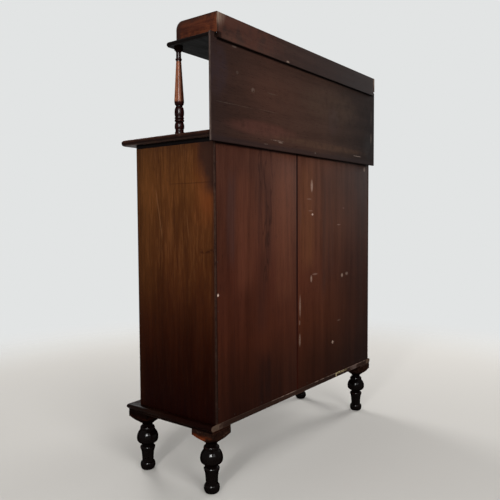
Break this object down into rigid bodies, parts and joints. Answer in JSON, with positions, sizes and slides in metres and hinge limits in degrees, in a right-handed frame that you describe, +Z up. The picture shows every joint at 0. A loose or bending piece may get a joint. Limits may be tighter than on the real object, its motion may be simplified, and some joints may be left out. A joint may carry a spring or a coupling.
{
  "type": "chiffonier",
  "caption": "Free-standing wooden cupboard with panelled doors, a frieze drawer and a raised galleried shelf on turned columns, standing on turned feet.",
  "frame": {"origin": "on the floor, at the middle of the plan of the whole object", "axes": "+Z up, the front with the doors and the drawer faces -Y, +X to the right of a person in front of it"},
  "size_m": [0.966, 0.3786, 1.302],
  "materials": {
    "side_wood": "worn French polish over red-brown mahogany",
    "back_wood": "unpolished, darkened back boards",
    "panel_wood": "unpolished, grey-brown with age",
    "gallery_wood": "worn polish",
    "board_wood": "dark polish with worn edges",
    "polished_wood": "French-polished mahogany",
    "ebonised_wood": "ebonised and polished",
    "inner_wood": "bare planed softwood",
    "brass": "dull aged brass"
  },
  "bodies": {
    "carcass": {"rear_right_foot": "ebonised_wood", "front_right_foot": "ebonised_wood", "rear_left_foot": "ebonised_wood", "front_left_foot": "ebonised_wood", "plinth_fillet_frame": "polished_wood", "base_board": "board_wood", "base_moulding_front": "polished_wood", "base_moulding_right": "polished_wood", "base_moulding_left": "polished_wood", "side_right": "side_wood", "side_left": "side_wood", "inner_shelf": "inner_wood", "back_board_right": "back_wood", "back_board_left": "back_wood", "sub_top": "ebonised_wood", "frieze_rail": "side_wood", "drawer_runner_right": "inner_wood", "drawer_runner_left": "inner_wood", "front_column_right": "polished_wood", "front_column_left": "polished_wood", "frieze_cornice": "polished_wood", "frame_stile_right": "side_wood", "frame_stile_left": "side_wood", "right_frame_hinge_leaf_low": "brass", "right_frame_hinge_leaf_high": "brass", "left_frame_hinge_leaf_low": "brass", "left_frame_hinge_leaf_high": "brass", "top_board": "board_wood", "upper_back_panel": "panel_wood", "upper_shelf": "ebonised_wood", "upper_column_right": "polished_wood", "upper_column_left": "polished_wood", "gallery_back": "gallery_wood", "gallery_end_right": "gallery_wood", "gallery_end_left": "gallery_wood"},
    "drawer": {"drawer_front": "polished_wood", "drawer_side_right": "inner_wood", "drawer_side_left": "inner_wood", "drawer_bottom": "inner_wood", "drawer_back": "inner_wood", "drawer_knob_right": "ebonised_wood", "drawer_knob_left": "ebonised_wood"},
    "right_door": {"right_door_hinge_stile": "polished_wood", "right_door_meeting_stile": "polished_wood", "right_door_top_rail": "polished_wood", "right_door_bottom_rail": "polished_wood", "right_door_panel": "polished_wood", "right_door_hinge_leaf_low": "brass", "right_door_hinge_leaf_high": "brass", "right_door_knob": "ebonised_wood", "right_door_lock_case": "brass"},
    "left_door": {"left_door_hinge_stile": "polished_wood", "left_door_meeting_stile": "polished_wood", "left_door_top_rail": "polished_wood", "left_door_bottom_rail": "polished_wood", "left_door_panel": "polished_wood", "left_door_hinge_leaf_low": "brass", "left_door_hinge_leaf_high": "brass"},
    "lock_bolt": {"right_door_lock_bolt": "brass"}
  },
  "joints": [
    {"name": "drawer_slide", "type": "slide", "parent": "carcass", "child": "drawer", "axis": [0, -1, 0], "range_m": [0, 0.2]},
    {"name": "right_door_hinge", "type": "hinge", "parent": "carcass", "child": "right_door", "pos_m": [0.379, -0.13555, 0.529], "axis": [0, 0, 1], "range_deg": [0, 100]},
    {"name": "left_door_hinge", "type": "hinge", "parent": "carcass", "child": "left_door", "pos_m": [-0.379, -0.13555, 0.529], "axis": [0, 0, -1], "range_deg": [0, 100]},
    {"name": "door_lock_bolt", "type": "slide", "parent": "right_door", "child": "lock_bolt", "axis": [-1, 0, 0], "range_m": [0, 0.01]}
  ]
}
